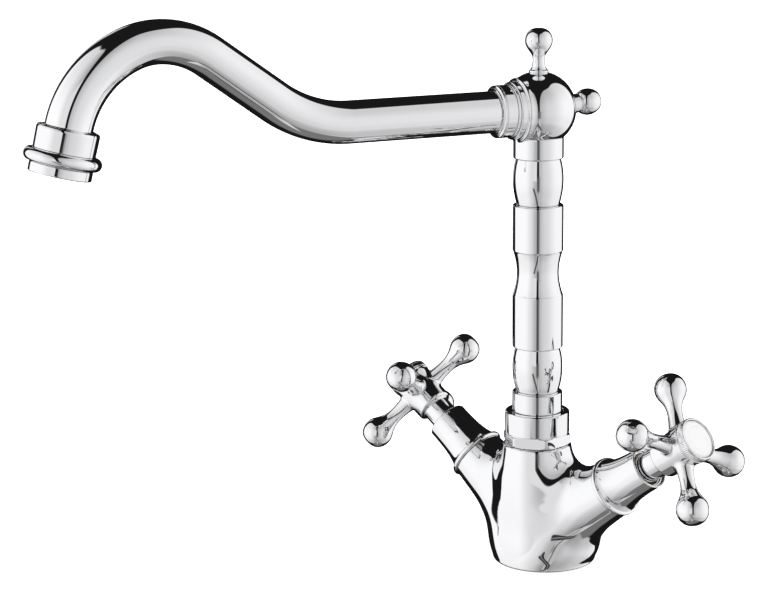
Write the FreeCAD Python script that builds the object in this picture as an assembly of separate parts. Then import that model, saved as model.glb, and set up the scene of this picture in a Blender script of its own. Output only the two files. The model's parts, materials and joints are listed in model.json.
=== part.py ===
import FreeCAD, Part
import math
import os

# Two-handle single-hole kitchen mixer tap with a turned column and a swinging spout.
# Millimetres, +Z up. Origin: centre of the foot on the plane of the sink or worktop.
# +X is the side of the right-hand valve, -X the left-hand valve, -Y the front.
# The foot and both valve axes lie in the plane y = 0; the upright leans forward a little, so the
# column stands FOOT_BACK in front of them. Shapes are built about the column axis and moved
# by FOOT_BACK when they are written.

os.makedirs("parts", exist_ok=True)
V = FreeCAD.Vector

# ---------------------------------------------------------------- driving dimensions
FOOT_R = 26.0            # foot of the body casting
FOOT_BACK = 6.0          # distance of the foot and the valve axes behind the column axis
BODY_TOP = 62.0          # shoulder under the column nut
BOSS_R = 14.8            # threaded boss that takes the column nut
BOSS_TOP = 69.0
SPIGOT_R = 10.0          # column spigot, turns in the body bore
SPIGOT_CLR = 0.06
AXIS_Z = 15.05           # height where both valve axes meet the column axis
AXIS_EL = 34.9           # elevation of the valve axes, degrees
ARM_END = 53.0           # distance along the valve axis to the end of a body arm
ARM_END_R = 14.2
VALVE_BORE_R = 9.5
HUB_S = 101.3            # distance along the valve axis to the middle of the handle
ARM_L = 31.5             # handle centre to ball-end centre
ARM_BALL_R = 7.9
TURN_R = -25.5           # rest angle of the right handle about its axis, degrees
TURN_L = 33.6            # rest angle of the left handle
NUT_AF = 30.0            # column nut across flats
NUT_HEX_TOP = 67.4
NUT_TOP = 78.8
NUT_COLLAR_R = 16.1
COL_R = 12.55            # column rings and sleeve
RING_RUN_CLR = 0.07      # foot ring in the nut
BALL_Z = 230.0
BALL_R = 18.4
SPOUT_AZ = -114.5        # direction of the spout at rest, degrees from +X
SPOUT_R = 10.2
SPOUT_WALL = 1.2
SPOUT_END_R = 11.0       # the tube widens a little from the crest to the outlet
KNOB_RISE = 4.3          # the rear knob points up by this much, degrees
NOZZLE_TILT = 76.0       # fall of the spout end below level, degrees
INLET_R = 4.5            # tapping of the M10x1 tail inlets
INLET_X = 9.0
INLET_LEN = 14.0         # depth of the inlet tapping
STUD_R = 3.4             # tapping of the M8 fixing stud hole
STUD_Y = 11.5
STUD_LEN = 16.0


# ---------------------------------------------------------------- helpers
def place(shape, origin, xdir, ydir, zdir):
    m = FreeCAD.Matrix(xdir.x, ydir.x, zdir.x, origin.x,
                       xdir.y, ydir.y, zdir.y, origin.y,
                       xdir.z, ydir.z, zdir.z, origin.z,
                       0, 0, 0, 1)
    s = shape.copy()
    s.transformShape(m)
    return s


def rev(parts, angle=360.0):
    """Solid of revolution about Z from a closed outline in the XZ half plane.

    parts is a list of points (r, z); a nested list is a smooth run through its points.
    """
    edges = []
    last = None
    first = None

    def pt(p):
        return V(p[0], 0, p[1])
    for item in parts:
        if isinstance(item, list):
            pts = [pt(p) for p in item]
            if last is not None and last.distanceToPoint(pts[0]) > 1e-6:
                edges.append(Part.LineSegment(last, pts[0]).toShape())
            c = Part.BSplineCurve()
            c.interpolate(pts)
            edges.append(c.toShape())
            if first is None:
                first = pts[0]
            last = pts[-1]
        else:
            p = pt(item)
            if first is None:
                first = p
            if last is not None and last.distanceToPoint(p) > 1e-6:
                edges.append(Part.LineSegment(last, p).toShape())
            last = p
    if last.distanceToPoint(first) > 1e-6:
        edges.append(Part.LineSegment(last, first).toShape())
    w = Part.Wire(Part.__sortEdges__(edges))
    f = Part.Face(w)
    s = f.revolve(V(0, 0, 0), V(0, 0, 1), angle)
    if s.Volume < 0:
        s.reverse()
    return Part.Solid(s) if s.ShapeType != "Solid" else s


def cyl(r, z0, z1, x=0.0, y=0.0):
    return Part.makeCylinder(r, z1 - z0, V(x, y, z0), V(0, 0, 1))


def rod(r, p0, p1):
    d = p1.sub(p0)
    return Part.makeCylinder(r, d.Length, p0, d)


def tube(ro, ri, z0, z1):
    return cyl(ro, z0, z1).cut(cyl(ri, z0 - 1, z1 + 1))


def arc_pts(cr, cz, r, a0, a1, n=7):
    out = []
    for i in range(n):
        a = math.radians(a0 + (a1 - a0) * i / (n - 1))
        out.append((cr + r * math.cos(a), cz + r * math.sin(a)))
    return out


def hexagon(af, z0, z1, turn=0.0, chamfer=0.0):
    rc = af / math.sqrt(3.0)
    pts = [V(rc * math.cos(math.radians(turn + 60 * i)), rc * math.sin(math.radians(turn + 60 * i)), z0) for i in range(7)]
    s = Part.Face(Part.makePolygon(pts)).extrude(V(0, 0, z1 - z0))
    if chamfer > 0:
        c = chamfer
        lim = rev([(0, z0), (rc - c, z0), (rc + 0.01, z0 + c * 0.55), (rc + 0.01, z1 - c * 0.55), (rc - c, z1), (0, z1)])
        s = s.common(lim)
    return s


def one(shape):
    """The single solid of a boolean result."""
    sol = shape.Solids
    if len(sol) != 1:
        print("solids:", len(sol), [round(x.Volume, 1) for x in sol])
        sol = sorted(sol, key=lambda x: -x.Volume)
    return sol[0]


def save(name, shape):
    if isinstance(shape, (list, tuple)):
        solids = []
        for s in shape:
            solids.extend(s.Solids)
        out = Part.makeCompound(solids) if len(solids) > 1 else solids[0]
    else:
        out = one(shape)
    out = out.copy()
    out.translate(V(0, -FOOT_BACK, 0))
    out.exportStep("parts/%s.step" % name)
    b = out.BoundBox
    print("%-18s solids %d valid %s vol %8.1f  x %6.1f %6.1f y %6.1f %6.1f z %6.1f %6.1f" % (
        name, len(out.Solids), out.isValid(), out.Volume, b.XMin, b.XMax, b.YMin, b.YMax, b.ZMin, b.ZMax))
    return out


# ---------------------------------------------------------------- frames
el = math.radians(AXIS_EL)
C0 = V(0, FOOT_BACK, AXIS_Z)


def valve_frame(side):
    """Local frame of a valve: x up the slope's normal, z outwards along the valve axis."""
    sg = 1.0 if side == "right" else -1.0
    a = V(sg * math.cos(el), 0, math.sin(el))
    e1 = V(-sg * math.sin(el), 0, math.cos(el))
    e2 = a.cross(e1)
    return e1, e2, a


def on_valve(shape, side):
    e1, e2, a = valve_frame(side)
    return place(shape, C0, e1, e2, a)


az = math.radians(SPOUT_AZ)
SD = V(math.cos(az), math.sin(az), 0)      # horizontal direction of the spout
SN = V(-math.sin(az), math.cos(az), 0)


def on_spout(shape):
    """Local frame of the spout: x outwards, y sideways, z up, at the ball centre's axis."""
    return place(shape, V(0, 0, 0), SD, SN, V(0, 0, 1))


# ================================================================ body casting
def smooth_solid(sections, seam, n=28):
    """Closed skin through circles (x, y, z, tilt, r), tilted about Y, with flat ends.

    seam is the angle round each circle where the skin starts.
    """
    grid = []
    for cx, cy, cz, tilt, r in sections:
        t = math.radians(tilt)
        ux, uz = math.cos(t), -math.sin(t)
        row = []
        for j in range(n + 1):
            q = math.radians(seam + 360.0 * (j % n) / n)
            row.append(V(cx + r * math.cos(q) * ux, cy + r * math.sin(q), cz + r * math.cos(q) * uz))
        grid.append(row)
    surf = Part.BSplineSurface()
    surf.interpolate(grid)
    side = surf.toShape()
    faces = [side]
    for k in (0, -1):
        pts = grid[k]
        rim = None
        for e in side.Edges:
            mid = e.valueAt(0.5 * (e.FirstParameter + e.LastParameter))
            if e.Vertexes[0].Point.distanceToPoint(pts[0]) < 1e-4 and e.Vertexes[-1].Point.distanceToPoint(pts[0]) < 1e-4 and \
                    mid.distanceToPoint(pts[n // 2]) < 1.0:
                rim = e
        faces.append(Part.Face(Part.Wire([rim])))
    shell = Part.Shell(faces)
    shell.sewShape()
    sol = Part.Solid(Part.Shell(shell.Faces))
    if sol.Volume < 0:
        sol.reverse()
    return sol


def horn(sg):
    secs = [(0.0, 0.9, 0.0, FOOT_R - 0.9),
            (0.25, 2.6, 1.0, FOOT_R - 0.45),
            (2.2, 8.0, 8.0, 25.8),
            (6.2, 15.0, 19.0, 24.2),
            (13.2, 24.0, 32.0, 21.0),
            (21.6, 30.4, 45.0, 17.9)]
    for s, r in ((36.0, 15.9), (43.0, 15.1), (ARM_END, ARM_END_R)):
        secs.append((s * math.cos(el), AXIS_Z + s * math.sin(el), 90.0 - AXIS_EL, r))
    return smooth_solid([(sg * cx, FOOT_BACK, cz, sg * t, r) for cx, cz, t, r in secs], 180.0 if sg > 0 else 0.0)


def lean(z):
    """Distance of the upright's section at height z behind the column axis."""
    t = min(1.0, max(0.0, (z - 16.0) / (BODY_TOP - 4.0 - 16.0)))
    return FOOT_BACK * (1.0 - t * t * (3.0 - 2.0 * t))


foot = rev([(0, 0), (FOOT_R - 1.6, 0), [(FOOT_R - 1.6, 0), (FOOT_R - 0.47, 0.47), (FOOT_R, 1.6)], (FOOT_R, 2.0), (0, 2.0)])
foot.translate(V(0, FOOT_BACK, 0))
UPRIGHT = [(2.0, 25.9), (5.0, 26.15), (8.0, 26.2), (12.0, 26.15), (16.0, 25.9), (21.0, 25.4), (26.0, 24.7), (31.0, 23.75), (36.0, 22.6), (41.0, 21.3), (46.0, 20.0),
           (51.0, 18.8), (56.0, 17.8), (BODY_TOP - 0.7, 17.2)]
upright = smooth_solid([(0.0, lean(z), z, 0.0, r) for z, r in UPRIGHT], 90.0)
shoulder = rev([(0, BODY_TOP - 0.75), (17.1, BODY_TOP - 0.75), (16.6, BODY_TOP), (0, BODY_TOP)])
body = upright.fuse(foot).fuse(shoulder)
body = body.fuse(horn(1.0)).fuse(horn(-1.0))
crotch = [e for e in body.Edges if e.Length > 80 and e.BoundBox.ZMin > 2.2 and 40 < e.BoundBox.ZMax < 52]
body = body.makeFillet(2.0, crotch)
body = body.fuse(tube(BOSS_R, SPIGOT_R + SPIGOT_CLR, BODY_TOP - 1.0, BOSS_TOP))
# bores: column spigot, mixing chamber, gasket groove, inlets, stud hole, valve pockets, waterways
body = body.cut(cyl(SPIGOT_R + SPIGOT_CLR, 50.0, BOSS_TOP + 1))
body = body.cut(cyl(7.0, 40.5, 50.5))
groove = tube(24.0, 21.0, -1.0, 2.2)
groove.translate(V(0, FOOT_BACK, 0))
body = body.cut(groove)
for sg in (1.0, -1.0):
    body = body.cut(cyl(INLET_R, -1.0, INLET_LEN, sg * INLET_X, FOOT_BACK))
    side = "right" if sg > 0 else "left"
    e1, e2, a = valve_frame(side)
    # valve pocket with a gallery round the cage's windows
    body = body.cut(on_valve(cyl(VALVE_BORE_R, 31.0, ARM_END + 5).fuse(cyl(11.2, 35.0, 41.0)), side))
    # inlet to the middle of the pocket's floor, gallery to the mixing chamber
    body = body.cut(rod(2.6, V(sg * INLET_X, FOOT_BACK, INLET_LEN - 0.5), V(sg * INLET_X, FOOT_BACK, 22.0)))
    body = body.cut(Part.makeSphere(2.6, V(sg * INLET_X, FOOT_BACK, 22.0)))
    body = body.cut(rod(2.6, V(sg * INLET_X, FOOT_BACK, 22.0), C0 + a * 31.5))
    body = body.cut(rod(2.6, C0 + a * 38.0 + e1 * 6.0, V(0, 0, 43.5)))
body = body.cut(cyl(STUD_R, -1.0, STUD_LEN, 0, FOOT_BACK + STUD_Y))
body_casting = save("body_casting", body)

gasket = rev([(21.1, 0.0), (23.9, 0.0), (23.9, 2.1), (21.1, 2.1)])
gasket.translate(V(0, FOOT_BACK, 0))
base_gasket = save("base_gasket", gasket)

# ================================================================ column nut and what turns in it
nut = hexagon(NUT_AF, BODY_TOP + 0.1, NUT_HEX_TOP, turn=-35.0, chamfer=1.5)
nut = nut.fuse(rev([(0, NUT_HEX_TOP - 0.5), (15.0, NUT_HEX_TOP - 0.5), (15.0, NUT_HEX_TOP), (NUT_COLLAR_R, NUT_HEX_TOP), (NUT_COLLAR_R, NUT_TOP - 0.5),
                    (NUT_COLLAR_R - 0.5, NUT_TOP), (0, NUT_TOP)]))
nut = nut.cut(cyl(BOSS_R + 0.08, BODY_TOP - 1, 75.4))
nut = nut.cut(cyl(COL_R + RING_RUN_CLR, 70.0, NUT_TOP + 1))
nut = nut.cut(rev([(COL_R, NUT_TOP - 0.7), (COL_R + 1.0, NUT_TOP + 0.3), (COL_R, NUT_TOP + 0.3)]))
save("column_nut", nut)

save("swivel_washer", tube(14.7, 12.75, 73.5, 75.35))

# spigot with flange: seals in the body bore and is held down by the nut
tail = rev([(7.2, 50.6), (SPIGOT_R - 0.6, 50.6), (SPIGOT_R, 51.2), (SPIGOT_R, 54.0), (8.6, 54.0), (8.6, 56.4), (SPIGOT_R, 56.4),
            (SPIGOT_R, 59.6), (8.6, 59.6), (8.6, 62.0), (SPIGOT_R, 62.0), (SPIGOT_R, 69.6), (14.5, 69.6), (14.5, 73.3),
            (12.5, 73.3), (12.5, 73.9), (9.7, 73.9), (9.7, 84.0), (7.2, 84.0)])
save("column_tail", tail)


def oring(R, r, z):
    return Part.makeTorus(R, r, V(0, 0, z), V(0, 0, 1))


save("spigot_orings", [oring(9.32, 0.7, 55.2), oring(9.32, 0.7, 60.8)])
save("riser_tube", tube(8.0, 6.6, 84.3, 216.0))

# ---------------------------------------------------------------- turned column, bottom to top
BORE = 8.3
foot_ring = rev([(9.8, 74.1), (COL_R, 74.1), (COL_R, 88.5), (COL_R - 0.35, 88.9), (11.0, 88.95), (BORE, 88.95), (BORE, 84.2), (9.8, 84.2)])
save("foot_ring", foot_ring)
lower_barrel = rev([(BORE, 89.0), (10.7, 89.0), [(10.75, 89.4), (11.45, 92.0), (12.15, 96.0), (12.46, 101.0), (12.25, 105.5), (11.75, 108.5), (11.2, 110.6)],
                    (11.1, 111.3), (BORE, 111.3)])
save("lower_barrel", lower_barrel)
sleeve = rev([(BORE, 111.35), (11.6, 111.35), (COL_R - 0.25, 111.6), (COL_R, 111.95), (COL_R, 138.0), (COL_R - 0.15, 138.3),
              [(12.2, 138.6), (11.75, 140.1), (11.1, 142.7), (10.6, 145.6), (10.35, 149.2), (10.6, 152.8), (11.1, 155.7), (11.75, 158.3), (12.2, 159.9)],
              (COL_R - 0.15, 160.2), (COL_R, 160.5), (COL_R, 182.6), (COL_R - 0.25, 182.95), (11.6, 183.2), (BORE, 183.2)])
save("waisted_sleeve", sleeve)
upper_barrel = rev([(BORE, 183.25), (10.7, 183.25), [(10.78, 183.8), (11.45, 186.6), (12.15, 190.6), (12.46, 195.3), (12.25, 199.6), (11.75, 203.0), (11.15, 205.4)],
                    (11.1, 205.9), (BORE, 205.9)])
save("upper_barrel", upper_barrel)
top_ring = rev([(BORE, 205.95), (11.7, 205.95), (12.2, 206.2), (12.45, 206.6), (12.45, 216.6), (BORE, 216.6)])

# ================================================================ ball head
SOCK_R = 14.1
ball = Part.makeSphere(BALL_R, V(0, 0, BALL_Z))


def along_spout(shape):
    """A shape modelled along +Z, laid along the spout axis through the ball centre."""
    return place(shape, V(0, 0, BALL_Z), SN, V(0, 0, 1), SD)


def behind(shape):
    """Along the rear knob's axis, which rises a little towards the back."""
    k = math.radians(KNOB_RISE)
    zk = SD * -math.cos(k) + V(0, 0, math.sin(k))
    xk = SN * -1.0
    return place(shape, V(0, 0, BALL_Z), xk, zk.cross(xk), zk)


# the ball sits on the ring, so the ring's top follows the ball and its socket
top_ring = top_ring.cut(Part.makeSphere(BALL_R + 0.02, V(0, 0, BALL_Z)))
top_ring = top_ring.cut(along_spout(cyl(16.32, 0.0, 16.0)))
save("top_ring", top_ring)


sock = rev([(0, 0), (16.3, 0), (16.3, 8.7), (16.0, 9.1), (14.5, 13.0), (SOCK_R, 13.4), (SOCK_R, 15.0), (13.7, 15.4), (0, 15.4)])
ball = ball.fuse(along_spout(sock))
ball = ball.cut(Part.makeSphere(11.5, V(0, 0, BALL_Z)))
ball = ball.cut(cyl(8.05, 210.0, 222.0))
ball = ball.cut(along_spout(cyl(10.35, 5.0, 20.0)))
ball = ball.cut(cyl(2.55, 238.0, 250.0))
ball = ball.cut(behind(cyl(2.55, 8.0, 20.0)))
save("ball_head", ball)

# teardrop finial on a small flange, screwed into the top of the ball
Z0 = BALL_Z + BALL_R
fin = rev([(0, Z0 - 5.0), (2.5, Z0 - 5.0), (2.5, Z0 - 0.3), (4.6, Z0 - 0.3), (4.85, Z0 + 0.15), (4.7, Z0 + 0.75),
           [(4.2, Z0 + 0.95), (3.5, Z0 + 2.1), (3.1, Z0 + 3.9), (2.97, Z0 + 5.6), (3.2, Z0 + 7.3), (3.8, Z0 + 8.5), (4.95, Z0 + 10.2),
            (6.1, Z0 + 12.1), (6.7, Z0 + 14.1), (6.62, Z0 + 16.2), (5.8, Z0 + 18.3), (4.4, Z0 + 19.8), (2.45, Z0 + 20.7), (0.0, Z0 + 21.0)]])
fin = fin.cut(Part.makeSphere(BALL_R + 0.02, V(0, 0, BALL_Z)).common(Part.makeBox(20, 20, 20, V(-10, -10, 238)).cut(cyl(2.5, 230, 260))))
save("finial", fin)

# round knob screwed into the back of the ball
kn = rev([(0, 13.0), (2.5, 13.0), (2.5, 17.6), (4.75, 17.6), (4.75, 20.9), (4.4, 21.2), (4.4, 21.6),
          [(4.45, 21.7), (5.3, 22.65), (6.1, 24.2), (6.5, 26.0), (6.45, 27.8), (5.75, 30.2), (4.4, 32.1), (2.3, 33.25), (0.0, 33.6)]])
kn = kn.cut(Part.makeSphere(BALL_R + 0.02, V(0, 0, 0)).cut(cyl(2.5, -30, 30)))
save("rear_knob", behind(kn))

# ================================================================ spout coupling
save("spout_groove_ring", along_spout(rev([(10.35, 15.45), (13.0, 15.45), (13.25, 15.75), (13.25, 16.35), (13.0, 16.65), (10.35, 16.65)])))
coup = rev([(10.3, 16.7), (12.45, 16.7), (12.8, 17.05), (12.8, 22.9), (12.45, 23.5), (11.3, 24.3), (10.3, 24.3)])
save("spout_coupling", along_spout(coup))
save("spout_oring", along_spout(oring(9.9, 0.42, 10.0)))

# ---------------------------------------------------------------- spout tube
# Centre line in the spout's vertical plane (distance, height): level run, bend up, straight rise,
# then two tangent arcs over the crest and down to the outlet.
RISE = 36.0
R_LOW = 63.0
R_TOP_IN = 40.0
R_TOP_OUT = 36.5
R_END = 48.7
TURN_AT = 22.6
CREST = (191.0, 272.1)
rs = math.radians(RISE)
p_in = (CREST[0] - R_TOP_IN * math.sin(rs), CREST[1] - R_TOP_IN * (1 - math.cos(rs)))   # start of the crest arc
s_corner = p_in[0] - (p_in[1] - BALL_Z) / math.tan(rs)
tl = R_LOW * math.tan(rs / 2)
s_low = s_corner - tl                                       # start of the lower bend
p_low = (s_corner + tl * math.cos(rs), BALL_Z + tl * math.sin(rs))
t45, tend = math.radians(TURN_AT), math.radians(NOZZLE_TILT)
p45 = (CREST[0] + R_TOP_OUT * math.sin(t45), CREST[1] - R_TOP_OUT * (1 - math.cos(t45)))
p_arc = (p45[0] + R_END * (math.sin(tend) - math.sin(t45)), p45[1] - R_END * (math.cos(t45) - math.cos(tend)))
p_end = (p_arc[0] + 2.0 * math.cos(tend), p_arc[1] - 2.0 * math.sin(tend))     # short straight end inside the collar


def P(p):
    return V(p[0], 0, p[1])


def arc(centre, r, a0, a1):
    am = 0.5 * (a0 + a1)
    q = [V(centre[0] + r * math.sin(a), 0, centre[1] + r * math.cos(a)) for a in (a0, am, a1)]
    return Part.Arc(q[0], q[1], q[2]).toShape()


S0 = 8.5
path = [Part.LineSegment(V(S0, 0, BALL_Z), V(s_low, 0, BALL_Z)).toShape(),
        Part.Arc(V(s_low, 0, BALL_Z), V(s_low + R_LOW * math.sin(rs / 2), 0, BALL_Z + R_LOW * (1 - math.cos(rs / 2))), P(p_low)).toShape(),
        Part.LineSegment(P(p_low), P(p_in)).toShape(),
        arc((CREST[0], CREST[1] - R_TOP_IN), R_TOP_IN, -rs, 0.0)]
fall = [arc((CREST[0], CREST[1] - R_TOP_OUT), R_TOP_OUT, 0.0, t45),
        arc((p45[0] - R_END * math.sin(t45), p45[1] - R_END * math.cos(t45)), R_END, t45, tend),
        Part.LineSegment(P(p_arc), P(p_end)).toShape()]
wire = Part.Wire(path)
wire2 = Part.Wire(fall)
length = wire.Length + wire2.Length


def ring_at(p, d, r):
    return Part.Wire(Part.Circle(p, d, r).toShape())


def sweep(less):
    """The rise at an even radius, then the fall widening to the outlet."""
    rise = wire.makePipeShell([ring_at(V(S0, 0, BALL_Z), V(1, 0, 0), SPOUT_R - less)], True, False)
    down = wire2.makePipeShell([ring_at(P(CREST), V(1, 0, 0), SPOUT_R - less),
                                ring_at(P(p_end), V(math.cos(tend), 0, -math.sin(tend)), SPOUT_END_R - less)], True, False)
    return rise.fuse(down)


outer = sweep(0.0)
inner = sweep(SPOUT_WALL)
tube_s = outer.cut(inner)
# groove for the sealing ring inside the ball's socket
gro = place(tube(SPOUT_R + 1, 9.45, 9.3, 10.7), V(0, 0, BALL_Z), V(0, 1, 0), V(0, 0, 1), V(1, 0, 0))
tube_s = tube_s.cut(gro)
tube_s = on_spout(one(tube_s))
print("spout centre line %.1f mm, volume %.0f, section x length %.0f" % (
    length, tube_s.Volume, math.pi * (SPOUT_R ** 2 - (SPOUT_R - SPOUT_WALL) ** 2) * length))
save("spout_tube", tube_s)

# ---------------------------------------------------------------- outlet
# Local axis along the fall of the spout end, t = 0 at the end of the tube.
nz = V(math.cos(tend), 0, -math.sin(tend))
nx = V(math.sin(tend), 0, math.cos(tend))
ny = nz.cross(nx)


def on_outlet(shape):
    return on_spout(place(shape, P(p_end), nx, ny, nz))


collar = rev([(SPOUT_END_R + 0.05, -2.2), (12.0, -2.2), [(12.0, -2.2), (13.3, -1.9), (14.1, -1.2), (14.45, -0.2)],
              (14.3, 8.95), (11.6, 8.95), (11.6, 0.3), (SPOUT_END_R + 0.05, 0.3)])
save("nozzle_collar", on_outlet(collar))
ring = rev([(11.7, 9.0), (14.6, 9.0), [(14.6, 9.0), (16.3, 9.4), (17.4, 10.5), (17.83, 12.1), (17.4, 13.7), (16.3, 14.8), (14.6, 15.2)], (11.7, 15.2)])
save("nozzle_ring", on_outlet(ring))
save("aerator_washer", on_outlet(tube(11.5, 8.6, 0.4, 1.9)))
housing = rev([(10.4, 2.0), (11.5, 2.0), (11.5, 15.3), (14.3, 15.3), (14.5, 15.55), (14.5, 19.55), (14.25, 19.85), (11.9, 19.85), (11.5, 19.05), (11.5, 17.85), (10.4, 17.85)])
save("aerator_housing", on_outlet(housing))
ins = cyl(10.3, 2.1, 17.2)
holes = []
for k in range(-3, 4):
    for j in range(-3, 4):
        x, y = 2.5 * k, 2.5 * j
        if math.hypot(x, y) < 8.8:
            holes.append(cyl(0.85, 1.0, 19.0, x, y))
ins = ins.cut(Part.makeCompound(holes))
save("aerator_insert", on_outlet(ins))

# ================================================================ valves and handles
H = HUB_S


def teardrop_arm():
    """A handle arm along +X, waisted behind its ball end."""
    prof = [(0.0, 0.0), (5.2, 0.0), (5.2, 7.0), [(5.2, 7.0), (4.7, 9.2), (4.25, 11.8), (3.85, 15.0), (3.7, 17.8), (3.85, 20.5), (4.45, 23.2), (5.6, 25.8),
            (6.9, 28.0), (7.75, 30.2), (7.9, 32.2), (7.5, 34.6), (6.3, 36.9), (4.3, 38.6), (2.1, 39.3), (0.0, 39.45)]]
    return place(rev(prof), V(0, 0, 0), V(0, 1, 0), V(0, 0, 1), V(1, 0, 0))


for side, turn in (("right", TURN_R), ("left", TURN_L)):
    # bell shroud over the headwork
    bell = rev([(13.3, 53.1), (14.5, 53.1), [(14.5, 53.1), (15.1, 53.6), (15.25, 54.3), (15.1, 55.0), (14.5, 55.5)],
                [(13.9, 55.7), (13.15, 57.2), (12.4, 59.6), (11.75, 62.6), (11.3, 66.0), (11.0, 70.0), (10.85, 74.0), (10.75, 77.6)],
                (10.75, 78.9), (10.45, 79.2), (9.9, 79.2), (9.6, 78.8), (9.6, 77.6), (8.9, 77.4), (8.9, 76.6), (8.35, 76.3), (8.35, 73.4),
                (10.0, 73.4), (10.0, 71.4), (8.75, 71.4), (8.75, 64.0), (10.4, 64.0), [(10.4, 64.0), (11.0, 60.5), (12.2, 57.3), (13.3, 55.6)]])
    save(side + "_bell_shroud", on_valve(bell, side))

    # headwork: threaded cage, hexagon seated on the arm end, neck that carries the shroud
    hw = cyl(VALVE_BORE_R - 0.08, 31.4, 53.05).fuse(hexagon(21.0, 53.05, 56.4, turn=10.0, chamfer=0.8)).fuse(cyl(8.65, 56.4, 71.2))
    hw = hw.cut(cyl(8.75, 30.0, 42.0)).cut(cyl(4.56, 40.0, 75.0))
    hw = hw.cut(tube(VALVE_BORE_R + 1, 8.9, 50.9, 52.7))
    hw = hw.cut(Part.makeBox(24, 5.0, 2.4, V(-12, -2.5, 38.1))).cut(Part.makeBox(5.0, 24, 2.4, V(-2.5, -12, 38.1)))
    save(side + "_headwork", on_valve(hw, side))
    save(side + "_headwork_oring", on_valve(tube(VALVE_BORE_R - 0.02, 8.95, 51.0, 52.6), side))
    # rubber seat, fixed disc and moving disc of the quarter-turn valve
    save(side + "_seat_seal", on_valve(tube(8.6, 7.6, 31.05, 33.35), side))
    fix = cyl(8.68, 33.4, 36.1)
    mov = cyl(8.67, 36.13, 38.7)
    for q in (5.0, -5.0):
        fix = fix.cut(cyl(2.4, 30, 40, q, 0))
        mov = mov.cut(cyl(2.4, 30, 40, 0, q))      # the ports meet after a quarter turn
    mov = mov.cut(Part.makeBox(14.2, 4.0, 2.0, V(-7.1, -2.0, 37.5)))
    save(side + "_fixed_disc", on_valve(fix, side))
    save(side + "_moving_disc", on_valve(mov, side))

    # spindle with a drive tongue in the moving disc, running in the headwork
    sp = Part.makeBox(13.9, 3.8, 3.2, V(-6.95, -1.9, 37.6)).fuse(cyl(8.6, 40.4, 41.8)).fuse(cyl(4.5, 41.7, 78.0)).fuse(cyl(4.0, 77.9, H - 3.0))
    sp = sp.cut(cyl(2.1, H - 14.0, H + 5)).cut(tube(6.0, 3.3, 61.0, 62.4))
    save(side + "_spindle", on_valve(sp, side))
    save(side + "_spindle_oring", on_valve(oring(3.93, 0.55, 61.7), side))

    # cross handle: hub, neck and four teardrop arms in one casting
    hub = rev([(5.6, H - 24.6), (7.35, H - 24.6), (7.35, H - 12.6), (7.6, H - 12.35), (9.0, H - 12.1), [(9.0, H - 12.1), (9.55, H - 11.6), (9.7, H - 10.8)],
               [(9.7, H - 10.8), (9.75, H - 6.0), (9.9, H - 1.0), (10.15, H + 3.0), (10.6, H + 6.2)], (10.75, H + 7.4),
               (8.3, H + 7.4), (8.3, H + 3.2), (2.65, H + 3.2), (2.65, H - 3.0), (4.08, H - 3.0), (4.08, H - 12.0), (5.6, H - 12.0)])
    solid_core = hub
    cross = hub
    arm = teardrop_arm()
    hollow = cyl(8.31, H + 3.2, H + 8).fuse(cyl(4.08, H - 30, H - 3.0)).fuse(cyl(2.65, H - 4, H + 4)).fuse(cyl(5.6, H - 25, H - 12.0))
    for k in range(4):
        t = turn + 90 * k
        ak = arm.copy()
        ak.rotate(V(0, 0, 0), V(0, 0, 1), t)
        ak.translate(V(0, 0, H))
        cross = cross.fuse(ak)
    cross = cross.cut(hollow)
    gt = math.radians(turn + 90.0 + 1.5)
    gs = H + 5.2
    gdir = V(math.cos(gt), math.sin(gt), 0)
    g0 = V(0, 0, gs)
    cross = cross.cut(rod(1.65, g0 + gdir * 7.0, g0 + gdir * 14.0))
    save(side + "_cross_handle", on_valve(cross, side))
    gs_screw = rod(1.6, g0 + gdir * 8.3, g0 + gdir * 9.9)
    gs_screw = gs_screw.cut(place(hexagon(1.6, 9.1, 10.5), g0, V(0, 0, 1), gdir.cross(V(0, 0, 1)), gdir))
    save(side + "_grub_screw", on_valve(gs_screw, side))
    # handle screw down the middle into the spindle
    scr = cyl(2.05, H - 13.0, H + 3.5).fuse(cyl(4.2, H + 3.25, H + 6.2))
    scr = scr.cut(hexagon(4.0, H + 4.2, H + 7.0))
    save(side + "_handle_screw", on_valve(scr, side))
    # index: chrome rim with a porcelain disc
    rim = rev([(7.6, H + 4.4), (8.22, H + 4.4), (8.22, H + 7.45), (10.8, H + 7.45), (11.05, H + 7.8), (11.05, H + 11.6), (10.8, H + 12.0), (10.2, H + 12.1),
               (9.75, H + 11.7), (9.75, H + 9.4), (6.0, H + 9.4), (6.0, H + 8.2), (7.6, H + 8.2)])
    save(side + "_index_rim", on_valve(rim, side))
    disc = rev([(0, H + 9.45), (9.7, H + 9.45), (9.7, H + 11.1), [(9.4, H + 11.4), (6.5, H + 11.75), (3.5, H + 11.95), (0.0, H + 12.0)]])
    save(side + "_index_disc", on_valve(disc, side))
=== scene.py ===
import bpy
import json
import math
import numpy as np
from mathutils import Matrix, Vector


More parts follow.
